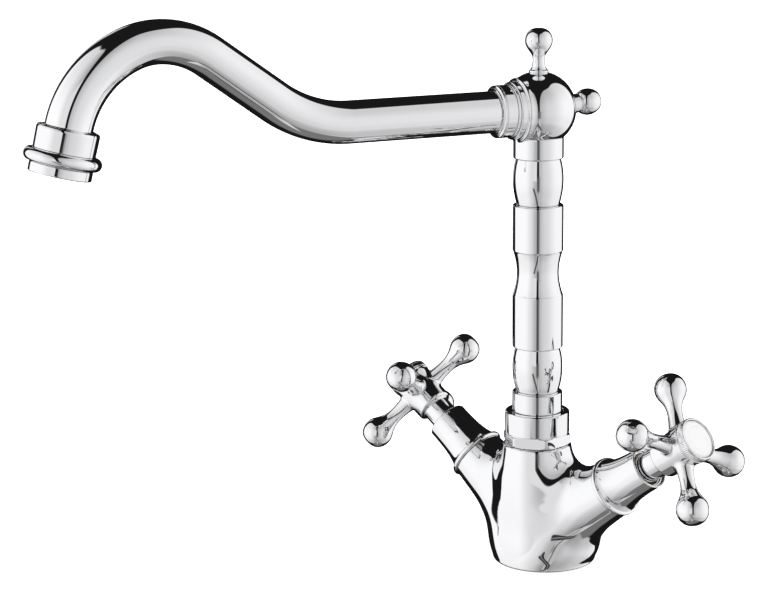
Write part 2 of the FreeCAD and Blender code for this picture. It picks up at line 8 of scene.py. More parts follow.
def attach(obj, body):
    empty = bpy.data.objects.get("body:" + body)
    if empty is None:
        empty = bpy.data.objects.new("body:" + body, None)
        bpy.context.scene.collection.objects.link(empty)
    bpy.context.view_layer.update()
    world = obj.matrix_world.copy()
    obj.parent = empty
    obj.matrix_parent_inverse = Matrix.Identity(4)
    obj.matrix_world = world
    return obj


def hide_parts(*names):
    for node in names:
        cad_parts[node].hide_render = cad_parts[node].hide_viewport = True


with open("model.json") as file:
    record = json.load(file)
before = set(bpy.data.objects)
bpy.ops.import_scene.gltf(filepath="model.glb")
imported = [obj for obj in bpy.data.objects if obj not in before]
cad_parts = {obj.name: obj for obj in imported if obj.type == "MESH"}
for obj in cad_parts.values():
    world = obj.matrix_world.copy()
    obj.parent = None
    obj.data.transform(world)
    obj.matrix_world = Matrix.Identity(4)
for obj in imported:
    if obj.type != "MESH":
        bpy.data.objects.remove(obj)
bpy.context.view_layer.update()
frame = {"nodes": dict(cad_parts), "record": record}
nodes = frame["nodes"]
MM = 0.001

# ------------------------------------------------------------------ the tap's own dimensions, mm
AXIS_Z, AXIS_EL = 15.05, math.radians(34.9)
HUB = 101.3
TURN = {"right": -25.5, "left": 33.6}
BALL_Z, BALL_R = 230.0, 18.4
SPOUT_AZ = math.radians(-114.5)
FOOT_R = 26.0
FOOT_BACK = 6.0          # the foot and the valve axes are this far behind the column axis
KNOB_RISE = math.radians(4.3)


def unit(v):
    v = np.asarray(v, float)
    return v / np.linalg.norm(v)


# A frame is (origin, x, y, z) as numpy vectors. Shapes are built about the column axis; make() moves them
# so that the origin is the middle of the foot.
ROW = (np.zeros(3), np.array([1.0, 0, 0]), np.array([0, 1.0, 0]), np.array([0, 0, 1.0]))
SD = np.array([math.cos(SPOUT_AZ), math.sin(SPOUT_AZ), 0.0])
SN = np.array([-math.sin(SPOUT_AZ), math.cos(SPOUT_AZ), 0.0])
UP = np.array([0, 0, 1.0])
BALL_C = np.array([0, 0, BALL_Z])
ALONG = (BALL_C, SN, UP, SD)            # z of this frame runs out along the spout
_zk = -SD * math.cos(KNOB_RISE) + UP * math.sin(KNOB_RISE)
BEHIND = (BALL_C, -SN, np.cross(_zk, -SN), _zk)


def valve_frame(side):
    sg = 1.0 if side == "right" else -1.0
    a = np.array([sg * math.cos(AXIS_EL), 0, math.sin(AXIS_EL)])
    e1 = np.array([-sg * math.sin(AXIS_EL), 0, math.cos(AXIS_EL)])
    return (np.array([0, FOOT_BACK, AXIS_Z]), e1, np.cross(a, e1), a)


def out_of(fr, p):
    """Points p (n, 3) of frame fr, in the row frame."""
    o, x, y, z = fr
    return o + p[:, :1] * x + p[:, 1:2] * y + p[:, 2:3] * z


def turn_of(fr, n):
    o, x, y, z = fr
    return n[:, :1] * x + n[:, 1:2] * y + n[:, 2:3] * z


# ------------------------------------------------------------------ mesh building
def make(name, verts, faces, normals, mat, body, replaced=()):
    """One mesh object in the row frame from points in mm about the column axis, with its own smooth normals."""
    me = bpy.data.meshes.new(name)
    verts = (np.asarray(verts, float) + np.array([0, -FOOT_BACK, 0])) * MM
    if isinstance(faces, np.ndarray) and faces.ndim == 2:
        n, k = faces.shape
        me.vertices.add(len(verts))
        me.vertices.foreach_set("co", verts.ravel())
        me.loops.add(n * k)
        me.loops.foreach_set("vertex_index", faces.ravel().astype(np.int32))
        me.polygons.add(n)
        me.polygons.foreach_set("loop_start", np.arange(0, n * k, k, dtype=np.int32))
        me.update(calc_edges=True)
    else:
        me.from_pydata([tuple(v) for v in verts], [], faces)
    me.validate()
    me.polygons.foreach_set("use_smooth", np.ones(len(me.polygons), bool))
    me.update()
    if normals is not None:
        me.normals_split_custom_set_from_vertices([tuple(v) for v in normals])
    me.materials.append(mat)
    ob = bpy.data.objects.new(name, me)
    bpy.context.scene.collection.objects.link(ob)
    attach(ob, body)
    if replaced:
        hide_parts(*replaced)
    return ob


def spline(pts, n=24):
    """Points along a smooth curve through pts (centripetal Catmull-Rom)."""
    p = np.asarray(pts, float)
    p = np.vstack([2 * p[0] - p[1], p, 2 * p[-1] - p[-2]])
    out = []
    for i in range(1, len(p) - 2):
        p0, p1, p2, p3 = p[i - 1:i + 3]
        t0 = 0.0
        t1 = t0 + math.sqrt(np.linalg.norm(p1 - p0))
        t2 = t1 + math.sqrt(np.linalg.norm(p2 - p1))
        t3 = t2 + math.sqrt(np.linalg.norm(p3 - p2))
        t = np.linspace(t1, t2, n, endpoint=False)[:, None]
        a1 = (t1 - t) / (t1 - t0) * p0 + (t - t0) / (t1 - t0) * p1
        a2 = (t2 - t) / (t2 - t1) * p1 + (t - t1) / (t2 - t1) * p2
        a3 = (t3 - t) / (t3 - t2) * p2 + (t - t2) / (t3 - t2) * p3
        b1 = (t2 - t) / (t2 - t0) * a1 + (t - t0) / (t2 - t0) * a2
        b2 = (t3 - t) / (t3 - t1) * a2 + (t - t1) / (t3 - t1) * a3
        out.append((t2 - t) / (t2 - t1) * b1 + (t - t1) / (t2 - t1) * b2)
    out.append(p[-2][None])
    return np.vstack(out)


def outline(items, closed=True, soft=0.12, step=0.04):
    """Samples (r, z) and outward normals along an outline with rounded corners.

    items holds points (r, z) and lists of points, which are smooth runs. soft is how far
    the corners are rounded, in mm.
    """
    pts = []
    for it in items:
        if isinstance(it, list):
            pts.extend(spline(it).tolist())
        else:
            pts.append(list(it))
    p = np.array(pts, float)
    keep = [0]
    for i in range(1, len(p)):
        if np.linalg.norm(p[i] - p[keep[-1]]) > 1e-5:
            keep.append(i)
    p = p[keep]
    if closed and np.linalg.norm(p[0] - p[-1]) > 1e-5:
        p = np.vstack([p, p[:1]])
    seg = np.linalg.norm(np.diff(p, axis=0), axis=1)
    s = np.concatenate([[0], np.cumsum(seg)])
    n = max(16, int(round(s[-1] / step)))
    t = np.linspace(0, s[-1], n + 1)
    q = np.column_stack([np.interp(t, s, p[:, 0]), np.interp(t, s, p[:, 1])])
    h = s[-1] / n
    m = max(2, int(round(3 * soft / h)))
    w = np.exp(-0.5 * (np.arange(-m, m + 1) * h / soft) ** 2)
    w /= w.sum()
    if closed:
        q = q[:-1]
        e = np.vstack([q[-m:], q, q[:m]])
    else:       # mirrored about the axis at both ends
        a, b = q[1:m + 1][::-1].copy(), q[-m - 1:-1][::-1].copy()
        a[:, 0] *= -1
        b[:, 0] *= -1
        e = np.vstack([a, q, b])
    sm = np.column_stack([np.convolve(e[:, k], w, mode="valid") for k in (0, 1)])
    if closed:
        d = np.roll(sm, -1, 0) - np.roll(sm, 1, 0)
    else:
        sm[0, 0] = sm[-1, 0] = 0.0
        d = np.vstack([sm[1] - sm[0], sm[2:] - sm[:-2], sm[-1] - sm[-2]])
    ang = np.unwrap(np.arctan2(d[:, 1], d[:, 0]))
    # keep the samples where the outline turns, and both ends of every straight stretch
    total = len(sm)
    bend = np.abs(np.diff(ang, append=ang[-1:] if not closed else ang[:1] + (2 * math.pi * round((ang[-1] - ang[0]) / (2 * math.pi)))))
    curved = bend > 1e-4
    keep = [0]
    acc = dist = 0.0
    for i in range(1, total):
        acc += bend[i - 1]
        dist += h
        edge = curved[i] != curved[i - 1]
        if acc > math.radians(5.0) or (acc > math.radians(1.2) and dist > 0.7) or dist > 4.0 or edge:
            keep.append(i)
            acc = dist = 0.0
    if not closed and keep[-1] != total - 1:
        keep.append(total - 1)
    sm, ang = sm[keep], ang[keep]
    nr, nz = np.sin(ang), -np.cos(ang)
    # outward for an outline that runs either way
    area = 0.5 * np.sum(sm[:, 0] * np.roll(sm[:, 1], -1) - np.roll(sm[:, 0], -1) * sm[:, 1])
    if area < 0:
        nr, nz = -nr, -nz
    if not closed:
        nr[0] = nr[-1] = 0.0
        nz[0] = math.copysign(1.0, nz[0])
        nz[-1] = math.copysign(1.0, nz[-1])
    return sm, np.column_stack([nr, nz]), area > 0


def lathe_mesh(items, closed=True, soft=0.12, seg=96, radial=None):
    """Verts, quads and normals of an outline turned about Z."""
    sm, nn, ccw = outline(items, closed, soft)
    k = len(sm)
    th = np.arange(seg) * 2 * math.pi / seg
    c, s = np.cos(th), np.sin(th)
    if closed:
        v = np.stack([sm[:, 0][None] * c[:, None], sm[:, 0][None] * s[:, None], np.broadcast_to(sm[:, 1][None], (seg, k))], -1)
        n = np.stack([nn[:, 0][None] * c[:, None], nn[:, 0][None] * s[:, None], np.broadcast_to(nn[:, 1][None], (seg, k))], -1)
        i = np.arange(seg)[:, None]
        j = np.arange(k)[None]
        a = i * k + j
        b = ((i + 1) % seg) * k + j
        cc = ((i + 1) % seg) * k + (j + 1) % k
        d = i * k + (j + 1) % k
        f = np.stack([a, b, cc, d], -1).reshape(-1, 4)
        if not ccw:
            f = f[:, ::-1]
        return v.reshape(-1, 3), f, n.reshape(-1, 3)
    ring = sm[1:-1]
    rn = nn[1:-1]
    k = len(ring)
    v = np.stack([ring[:, 0][None] * c[:, None], ring[:, 0][None] * s[:, None], np.broadcast_to(ring[:, 1][None], (seg, k))], -1).reshape(-1, 3)
    n = np.stack([rn[:, 0][None] * c[:, None], rn[:, 0][None] * s[:, None], np.broadcast_to(rn[:, 1][None], (seg, k))], -1).reshape(-1, 3)
    v = np.vstack([v, [[0, 0, sm[0, 1]], [0, 0, sm[-1, 1]]]])
    n = np.vstack([n, [[0, 0, nn[0, 1]], [0, 0, nn[-1, 1]]]])
    i = np.arange(seg)[:, None]
    j = np.arange(k - 1)[None]
    a = i * k + j
    b = ((i + 1) % seg) * k + j
    f = [tuple(q) for q in np.stack([a, b, b + 1, a + 1], -1).reshape(-1, 4)]
    for m in range(seg):
        g = (m + 1) % seg
        f.append((seg * k, g * k, m * k))
        f.append((seg * k + 1, m * k + k - 1, g * k + k - 1))
    if not ccw:
        f = [q[::-1] for q in f]
    return v, f, n


def lathe(name, fr, items, mat, body, replaced=(), closed=True, soft=0.12, seg=96):
    v, f, n = lathe_mesh(items, closed, soft, seg)
    return make(name, out_of(fr, v), f, turn_of(fr, n), mat, body, replaced)


# ------------------------------------------------------------------ implicit surfaces
def smin(a, b, k):
    h = np.maximum(k - np.abs(a - b), 0.0) / np.maximum(k, 1e-9)
    return np.minimum(a, b) - h * h * k * 0.25


def smax(a, b, k):
    return -smin(-a, -b, k)


def rev_field(items, far=60.0):
    """Signed distance to a solid of revolution about Z, as a function of (r, z), from a table."""
    sm, nn, ccw = outline(items, closed=False, soft=0.25, step=0.1)
    from mathutils import kdtree
    r0, r1 = 0.0, sm[:, 0].max() + 12.0
    z0, z1 = sm[:, 1].min() - 12.0, sm[:, 1].max() + 12.0
    h = 0.35
    R = np.arange(r0, r1 + h, h)
    Z = np.arange(z0, z1 + h, h)
    RR, ZZ = np.meshgrid(R, Z, indexing="ij")
    P = np.column_stack([RR.ravel(), ZZ.ravel()])
    best = np.full(len(P), 1e9)
    A, B = sm[:-1], sm[1:]
    inside = np.zeros(len(P), bool)
    for a, b in zip(A, B):
        ab = b - a
        t = np.clip(((P - a) @ ab) / (ab @ ab), 0, 1)
        d = np.hypot(P[:, 0] - a[0] - t * ab[0], P[:, 1] - a[1] - t * ab[1])
        best = np.minimum(best, d)
        cr = (a[1] > P[:, 1]) != (b[1] > P[:, 1])
        with np.errstate(divide="ignore", invalid="ignore"):
            xi = a[0] + (P[:, 1] - a[1]) / (b[1] - a[1]) * ab[0]
        inside ^= cr & (P[:, 0] < xi)
    T = np.where(inside, -best, best).reshape(RR.shape)

    def f(r, z):
        u = np.clip((r - r0) / h, 0, len(R) - 1.001)
        w = np.clip((z - z0) / h, 0, len(Z) - 1.001)
        i, j = u.astype(int), w.astype(int)
        fu, fw = u - i, w - j
        d = (T[i, j] * (1 - fu) * (1 - fw) + T[i + 1, j] * fu * (1 - fw) + T[i, j + 1] * (1 - fu) * fw + T[i + 1, j + 1] * fu * fw)
        over = np.hypot(np.maximum(r - R[-1], 0), np.maximum(z - Z[-1], 0) + np.maximum(Z[0] - z, 0))
        return d + over
    return f


def net(field, lo, hi, h):
    """Quad skin of field < 0 inside the box, put exactly on the surface: verts, quads, normals."""
    ax = [np.arange(lo[i], hi[i] + h, h) for i in range(3)]
    D = np.empty((len(ax[0]), len(ax[1]), len(ax[2])), np.float32)
    for i, x in enumerate(ax[0]):
        Y, Z = np.meshgrid(ax[1], ax[2], indexing="ij")
        D[i] = field(np.full(Y.shape, x), Y, Z)
    S = D < 0
    c = sum(S[a:S.shape[0] - 1 + a, b:S.shape[1] - 1 + b, d:S.shape[2] - 1 + d].astype(np.int8) for a in (0, 1) for b in (0, 1) for d in (0, 1))
    act = (c > 0) & (c < 8)
    idx = np.full(act.shape, -1, np.int64)
    ci = np.argwhere(act)
    idx[act] = np.arange(len(ci))
    acc = np.zeros((len(ci), 3))
    cnt = np.zeros(len(ci))
    corners = [(a, b, d) for a in (0, 1) for b in (0, 1) for d in (0, 1)]
    for p in corners:
        for axis in range(3):
            if p[axis]:
                continue
            q = list(p)
            q[axis] = 1
            dp = D[ci[:, 0] + p[0], ci[:, 1] + p[1], ci[:, 2] + p[2]]
            dq = D[ci[:, 0] + q[0], ci[:, 1] + q[1], ci[:, 2] + q[2]]
            x = (dp < 0) != (dq < 0)
            t = np.where(x, dp / np.where(x, dp - dq, 1), 0)
            pos = np.tile(np.array(p, float), (len(ci), 1))
            pos[:, axis] += t
            acc += np.where(x[:, None], pos, 0)
            cnt += x
    v = ci + acc / cnt[:, None]
    v = np.column_stack([lo[i] + v[:, i] * h for i in range(3)])
    faces = []
    for axis in range(3):
        o = [i for i in range(3) if i != axis]
        sl = [slice(None)] * 3
        sl2 = [slice(None)] * 3
        sl[axis] = slice(0, -1)
        sl2[axis] = slice(1, None)
        A, B = S[tuple(sl)], S[tuple(sl2)]
        e = np.argwhere(A != B)
        ok = (e[:, o[0]] > 0) & (e[:, o[1]] > 0) & (e[:, o[0]] < S.shape[o[0]] - 1) & (e[:, o[1]] < S.shape[o[1]] - 1)
        e = e[ok]
        quad = []
        for du, dv in ((0, 0), (-1, 0), (-1, -1), (0, -1)):
            cidx = e.copy()
            cidx[:, o[0]] += du
            cidx[:, o[1]] += dv
            quad.append(idx[cidx[:, 0], cidx[:, 1], cidx[:, 2]])
        quad = np.column_stack(quad)
        flip = A[e[:, 0], e[:, 1], e[:, 2]]
        if axis == 1:
            flip = ~flip
        quad[~flip] = quad[~flip][:, ::-1]
        faces.append(quad)
    f = np.vstack(faces)

    def grad(p, e=0.02):
        g = np.empty_like(p)
        for i in range(3):
            a, b = p.copy(), p.copy()
            a[:, i] += e
            b[:, i] -= e
            g[:, i] = (field(a[:, 0], a[:, 1], a[:, 2]) - field(b[:, 0], b[:, 1], b[:, 2])) / (2 * e)
        return g
    for _ in range(4):
        g = grad(v)
        d = field(v[:, 0], v[:, 1], v[:, 2])
        st = d[:, None] * g / np.maximum((g * g).sum(1), 0.2)[:, None]
        ln = np.linalg.norm(st, axis=1)
        st *= np.minimum(1.0, 0.5 * h / np.maximum(ln, 1e-9))[:, None]
        v = v - st
    g = grad(v, 0.12)
    return v, f, g / np.linalg.norm(g, axis=1)[:, None]


# ------------------------------------------------------------------ materials
class Nodes:
    """Short calls for building a material's nodes."""

    def __init__(self, name):
        self.mat = bpy.data.materials.new(name)
        self.mat.use_nodes = True
        self.t = self.mat.node_tree
        self.bsdf = self.t.nodes["Principled BSDF"]
        self.co = self.t.nodes.new("ShaderNodeTexCoord").outputs["Object"]

    def put(self, socket, value):
        self.bsdf.inputs[socket].default_value = value

    def noise(self, scale, detail=3.0, rough=0.5, co=None):
        n = self.t.nodes.new("ShaderNodeTexNoise")
        n.inputs["Scale"].default_value = scale
        n.inputs["Detail"].default_value = detail
        n.inputs["Roughness"].default_value = rough
        self.t.links.new(co or self.co, n.inputs["Vector"])
        return n.outputs["Fac"]

    def spread(self, fac, a, b, lo=0.3, hi=0.7):
        m = self.t.nodes.new("ShaderNodeMapRange")
        m.inputs["From Min"].default_value = lo
        m.inputs["From Max"].default_value = hi
        m.inputs["To Min"].default_value = a
        m.inputs["To Max"].default_value = b
        self.t.links.new(fac, m.inputs["Value"])
        return m.outputs["Result"]

    def colours(self, fac, a, b):
        m = self.t.nodes.new("ShaderNodeMix")
        m.data_type = "RGBA"
        self.t.links.new(fac, m.inputs["Factor"])
        m.inputs["A"].default_value = (*a, 1)
        m.inputs["B"].default_value = (*b, 1)
        return m.outputs["Result"]

    def math(self, op, a, b):
        m = self.t.nodes.new("ShaderNodeMath")
        m.operation = op
        for i, v in enumerate((a, b)):
            if isinstance(v, (int, float)):
                m.inputs[i].default_value = v
            else:
                self.t.links.new(v, m.inputs[i])
        return m.outputs[0]

    def bump(self, height, strength, distance, prev=None):
        b = self.t.nodes.new("ShaderNodeBump")
        b.inputs["Strength"].default_value = strength
        b.inputs["Distance"].default_value = distance
        self.t.links.new(height, b.inputs["Height"])
        if prev is not None:
            self.t.links.new(prev, b.inputs["Normal"])
        return b.outputs["Normal"]

    def to(self, out, socket):
        self.t.links.new(out, self.bsdf.inputs[socket])


def chrome(name, wave=0.0, haze=0.02, tint=(0.865, 0.87, 0.88)):
    """Bright chrome plate: mirror gloss with a faint handling haze and the shallow waviness of polished brass."""
    m = Nodes(name)
    m.put("Metallic", 1.0)
    big = m.noise(38.0, 4.0, 0.55)
    fine = m.noise(900.0, 2.0, 0.6)
    m.to(m.colours(big, [c * 0.985 for c in tint], tint), "Base Color")
    r = m.math("ADD", m.spread(big, 0.022, 0.022 + haze), m.spread(fine, 0.0, 0.008))
    m.to(r, "Roughness")
    if wave > 0:
        m.to(m.bump(m.noise(55.0, 1.5, 0.4), wave, 0.0004), "Normal")
    return m.mat


def metal(name, lo, hi, r0, r1, scale=300.0):
    m = Nodes(name)
    m.put("Metallic", 1.0)
    a = m.noise(scale * 0.2, 5.0, 0.6)
    m.to(m.colours(a, lo, hi), "Base Color")
    m.to(m.spread(m.noise(scale, 4.0, 0.6), r0, r1), "Roughness")
    m.to(m.bump(m.noise(scale * 4, 2.0, 0.5), 0.15, 0.0002), "Normal")
    return m.mat


def dielectric(name, lo, hi, r0, r1, bump=0.1, scale=400.0, coat=0.0):
    m = Nodes(name)
    a = m.noise(scale * 0.15, 5.0, 0.55)
    m.to(m.colours(a, lo, hi), "Base Color")
    m.to(m.spread(m.noise(scale, 4.0, 0.6), r0, r1), "Roughness")
    m.to(m.bump(m.noise(scale * 3, 3.0, 0.5), bump, 0.0002), "Normal")
    if coat:
        m.put("Coat Weight", coat)
        m.put("Coat Roughness", 0.03)
    return m.mat


CAST = chrome("chrome_cast", wave=0.10)
TURNED = chrome("chrome_turned", wave=0.03)
TUBE = chrome("chrome_tube", wave=0.05, tint=(0.91, 0.915, 0.925))
GLAZE = dielectric("glazed_porcelain", (0.66, 0.66, 0.655), (0.71, 0.71, 0.705), 0.06, 0.16, 0.04, 250.0, coat=0.6)
BRASS = metal("turned_brass", (0.66, 0.50, 0.24), (0.76, 0.60, 0.32), 0.22, 0.38)
STEEL = metal("stainless_steel", (0.52, 0.52, 0.53), (0.62, 0.62, 0.63), 0.20, 0.34)
RUBBER = dielectric("black_rubber", (0.015, 0.015, 0.016), (0.035, 0.035, 0.036), 0.55, 0.75, 0.3)
WHITE_PLASTIC = dielectric("white_plastic", (0.78, 0.78, 0.75), (0.85, 0.85, 0.82), 0.35, 0.5, 0.15)
GREY_PLASTIC = dielectric("grey_plastic", (0.42, 0.43, 0.44), (0.55, 0.56, 0.57), 0.35, 0.5, 0.15)
CERAMIC = dielectric("lapped_ceramic", (0.84, 0.83, 0.80), (0.90, 0.89, 0.86), 0.12, 0.25, 0.05)

SLOTS = {"chrome": TURNED, "brass": BRASS, "steel": STEEL, "rubber": RUBBER, "white_plastic": WHITE_PLASTIC, "grey_plastic": GREY_PLASTIC,
         "ceramic": CERAMIC, "porcelain": GLAZE}
for sub in frame["record"]["subparts"]:
    ob = nodes[sub["node"]]
    for s in ob.material_slots:
        s.material = SLOTS[sub["material_slot"]]
    if not ob.material_slots:
        ob.data.materials.append(SLOTS[sub["material_slot"]])

# ================================================================== body casting
upright = rev_field([(0, -4.0), (FOOT_R - 0.2, -4.0), [(FOOT_R, -1.0), (FOOT_R + 0.1, 2.0), (26.2, 8.0), (26.15, 12.0), (25.9, 16.0), (25.4, 21.0), (24.7, 26.0), (23.75, 31.0),
                                                       (22.6, 36.0), (21.3, 41.0), (20.0, 46.0), (18.8, 51.0), (17.8, 56.0), (17.15, 61.2)],
                     (16.6, 62.0), (14.8, 62.05), (14.8, 69.0), (0, 69.0)])

SECS = [(0.0, 0.9, 0.0, FOOT_R - 0.1), (0.25, 2.6, 1.0, FOOT_R + 0.1), (2.2, 8.0, 8.0, 25.8), (6.2, 15.0, 19.0, 24.2), (13.2, 24.0, 32.0, 21.0), (21.6, 30.4, 45.0, 17.9)]
for s_, r_ in ((36.0, 15.9), (43.0, 15.1), (53.0, 14.2)):
    SECS.append((s_ * math.cos(AXIS_EL), AXIS_Z + s_ * math.sin(AXIS_EL), 90.0 - math.degrees(AXIS_EL), r_))
_s = spline(np.array(SECS), 20)


def horn_table():
    """In the plane of the arms: distance from the horn's centre line and its radius there."""
    cx, cz, tl, rr = _s.T
    tl = np.radians(tl)
    # straight on beyond both ends
    ext = np.linspace(1, 14, 14)
    cx = np.concatenate([np.full(6, cx[0]), cx, cx[-1] + ext * math.cos(AXIS_EL)])
    cz = np.concatenate([cz[0] - np.linspace(12, 0.5, 6), cz, cz[-1] + ext * math.sin(AXIS_EL)])
    tl = np.concatenate([np.full(6, tl[0]), tl, np.full(14, tl[-1])])
    rr = np.concatenate([np.full(6, rr[0]), rr, rr[-1] - 0.09 * ext])
    h = 0.5
    X = np.arange(-45.0, 75.0, h)
    Z = np.arange(-12.0, 80.0, h)
    XX, ZZ = np.meshgrid(X, Z, indexing="ij")
    g = (XX[..., None] - cx) * np.sin(tl) + (ZZ[..., None] - cz) * np.cos(tl)
    # first section plane that the point is behind
    pos = g >= 0
    k = pos.shape[-1] - 1 - np.argmax(pos[..., ::-1], axis=-1)
    k = np.clip(k, 0, len(cx) - 2)
    g0 = np.take_along_axis(g, k[..., None], -1)[..., 0]
    g1 = np.take_along_axis(g, k[..., None] + 1, -1)[..., 0]
    t = np.clip(g0 / np.where(np.abs(g0 - g1) < 1e-9, 1e-9, g0 - g1), 0, 1)
    lx = cx[k] * (1 - t) + cx[k + 1] * t
    lz = cz[k] * (1 - t) + cz[k + 1] * t
    lr = rr[k] * (1 - t) + rr[k + 1] * t
    q = np.hypot(XX - lx, ZZ - lz)
    return X, Z, h, q, lr


HX, HZ, HH, HQ, HR = horn_table()


def table2(T, x, z):
    u = np.clip((x - HX[0]) / HH, 0, len(HX) - 1.001)
    w = np.clip((z - HZ[0]) / HH, 0, len(HZ) - 1.001)
    i, j = u.astype(int), w.astype(int)
    fu, fw = u - i, w - j
    return T[i, j] * (1 - fu) * (1 - fw) + T[i + 1, j] * fu * (1 - fw) + T[i, j + 1] * (1 - fu) * fw + T[i + 1, j + 1] * fu * fw


def step01(x, a, b):
    t = np.clip((x - a) / (b - a), 0, 1)
    return t * t * (3 - 2 * t)


def horn(x, y, z, sg):
    x = sg * x
    d = np.hypot(table2(HQ, x, z), y) - table2(HR, x, z)
    s = x * math.cos(AXIS_EL) + (z - AXIS_Z) * math.sin(AXIS_EL)
    return smax(d, s - 53.0, 0.5)


def body_field(x, y, z):
    yf = y - FOOT_BACK
    u = upright(np.hypot(x, y - FOOT_BACK * (1 - step01(z, 16.0, 58.0))), z)
    k = 0.05 + 7.0 * step01(z, 14.0, 38.0) + 8.5 * step01(z, 34.0, 50.0)
    b = smin(horn(x, yf, z, 1.0), horn(x, yf, z, -1.0), 0.05 + 3.0 * step01(z, 10.0, 30.0))
    d = smin(u, b, k)
    # the nut's seat stays flat
    r = np.hypot(x, y)
    d = smax(d, -smax(smax(r - 24.0, 62.0 - z, 0.2), 14.85 - r, 0.2), 0.25)
    # flat underside with a rounded rim, gasket groove, inlets and stud hole
    d = smax(d, -z, 1.6)
    rf = np.hypot(x, yf)
    groove = smax(smax(rf - 24.0, 21.0 - rf, 0.2), z - 2.2, 0.2)
    d = smax(d, -groove, 0.3)
    for cx, cy, cr, cl in ((9.0, 0.0, 4.5, 14.0), (-9.0, 0.0, 4.5, 14.0), (0.0, 11.5, 3.4, 16.0)):
        d = smax(d, -smax(np.hypot(x - cx, yf - cy) - cr, z - cl, 0.3), 0.4)
    # spigot bore in the boss
    d = smax(d, -smax(r - 10.06, 50.0 - z, 0.3), 0.4)
    for sg in (1.0, -1.0):
        s = sg * x * math.cos(AXIS_EL) + (z - AXIS_Z) * math.sin(AXIS_EL)
        w = np.hypot(-sg * x * math.sin(AXIS_EL) + (z - AXIS_Z) * math.cos(AXIS_EL), yf)
        d = smax(d, -smax(w - 9.5, 36.0 - s, 0.3), 0.4)
    return d


v, f, n = net(body_field, (-56.0, -23.0, -1.5), (56.0, 35.0, 71.0), 0.62)
make("body", v, f, n, CAST, "body", ("body_casting",))

# ================================================================== column nut
def nut_mesh():
    """Hexagon with turned chamfers, rounded corners and a round collar, all in one skin."""
    af, rot = 15.0, math.radians(-35.0 + 30.0)
    items = [(14.9, 62.2), (16.0, 62.2), (17.3, 63.1), (17.4, 66.3), (16.6, 67.15), (15.55, 67.4), (15.55, 67.75), (16.05, 67.9), (16.1, 78.2), (15.65, 78.75),
             (13.3, 78.8), (12.65, 78.2), (12.65, 75.5), (14.9, 75.4)]
    sm, nn, ccw = outline(items, True, 0.14)
    seg = 240
    th = np.arange(seg) * 2 * math.pi / seg
    a = (th - rot + math.pi / 6) % (math.pi / 3) - math.pi / 6
    hexr = af / np.cos(a)
    hexr = -smin(-hexr, -np.full_like(hexr, 17.28), 0.0) if False else hexr
    R = np.broadcast_to(sm[:, 0][None], (seg, len(sm))).copy()
    Z = np.broadcast_to(sm[:, 1][None], (seg, len(sm))).copy()
    hx = (sm[:, 1] < 67.6) & (sm[:, 0] > 15.4)
    for j in np.where(hx)[0]:
        R[:, j] = smin(R[:, j], hexr, 0.5)
    v = np.stack([R * np.cos(th)[:, None], R * np.sin(th)[:, None], Z], -1)
    k = len(sm)
    du = np.roll(v, -1, 0) - np.roll(v, 1, 0)
    dv = np.roll(v, -1, 1) - np.roll(v, 1, 1)
    n = np.cross(du, dv)
    n /= np.maximum(np.linalg.norm(n, axis=2, keepdims=True), 1e-12)
    i = np.arange(seg)[:, None]
    j = np.arange(k)[None]
    f = np.stack([i * k + j, ((i + 1) % seg) * k + j, ((i + 1) % seg) * k + (j + 1) % k, i * k + (j + 1) % k], -1).reshape(-1, 4)
    if not ccw:
        f = f[:, ::-1]
        n = -n
    return v.reshape(-1, 3), f, n.reshape(-1, 3)


v, f, n = nut_mesh()
make("column_nut_hex", v, f, n, TURNED, "body", ("column_nut",))

# ================================================================== turned column
COL = 12.55
lathe("column_foot_ring", ROW, [(9.8, 74.1), (COL, 74.1), (COL, 88.3), (COL - 0.4, 88.75), (11.3, 88.95), (8.3, 88.95), (8.3, 84.2), (9.8, 84.2)], TURNED, "spout", ("foot_ring",))
lathe("column_lower_barrel", ROW, [(8.3, 89.0), (10.6, 89.0), [(10.75, 89.4), (11.45, 92.0), (12.15, 96.0), (12.46, 101.0), (12.25, 105.5), (11.75, 108.5), (11.2, 110.6)],
                                   (11.1, 111.3), (8.3, 111.3)], TURNED, "spout", ("lower_barrel",))
lathe("column_waisted_sleeve", ROW, [(8.3, 111.35), (11.6, 111.35), (COL - 0.3, 111.55), (COL, 111.95), (COL, 138.0), (COL - 0.2, 138.3),
                                     [(12.2, 138.6), (11.75, 140.1), (11.1, 142.7), (10.6, 145.6), (10.35, 149.2), (10.6, 152.8), (11.1, 155.7), (11.75, 158.3), (12.2, 159.9)],
                                     (COL - 0.2, 160.2), (COL, 160.5), (COL, 182.6), (COL - 0.3, 183.0), (11.6, 183.2), (8.3, 183.2)], TURNED, "spout", ("waisted_sleeve",))
lathe("column_upper_barrel", ROW, [(8.3, 183.25), (10.6, 183.25), [(10.78, 183.8), (11.45, 186.6), (12.15, 190.6), (12.46, 195.3), (12.25, 199.6), (11.75, 203.0), (11.15, 205.4)],
                                   (11.1, 205.9), (8.3, 205.9)], TURNED, "spout", ("upper_barrel",))
lathe("column_top_ring", ROW, [(8.3, 205.95), (11.6, 205.95), (12.15, 206.15), (12.45, 206.6), (12.45, 216.2), (12.2, 216.45), (8.3, 214.0)], TURNED, "spout", ("top_ring",))


# ================================================================== ball head
def ball_field(x, y, z):
    d = np.sqrt(x * x + y * y + z * z) - BALL_R
    r = np.hypot(x, y)
    ring = smax(smax(smax(r - 15.9, z - 12.3, 0.6), 0.8 * (r - 15.9) + 0.6 * (z - 11.7), 0.3), -z, 0.5)
    neck = smax(smax(r - 14.1, z - 15.4, 0.5), -z, 0.5)
    d = smin(d, smin(ring, neck, 0.4), 0.5)
    return smax(d, -smax(r - 10.35, 6.0 - z, 0.3), 0.4)


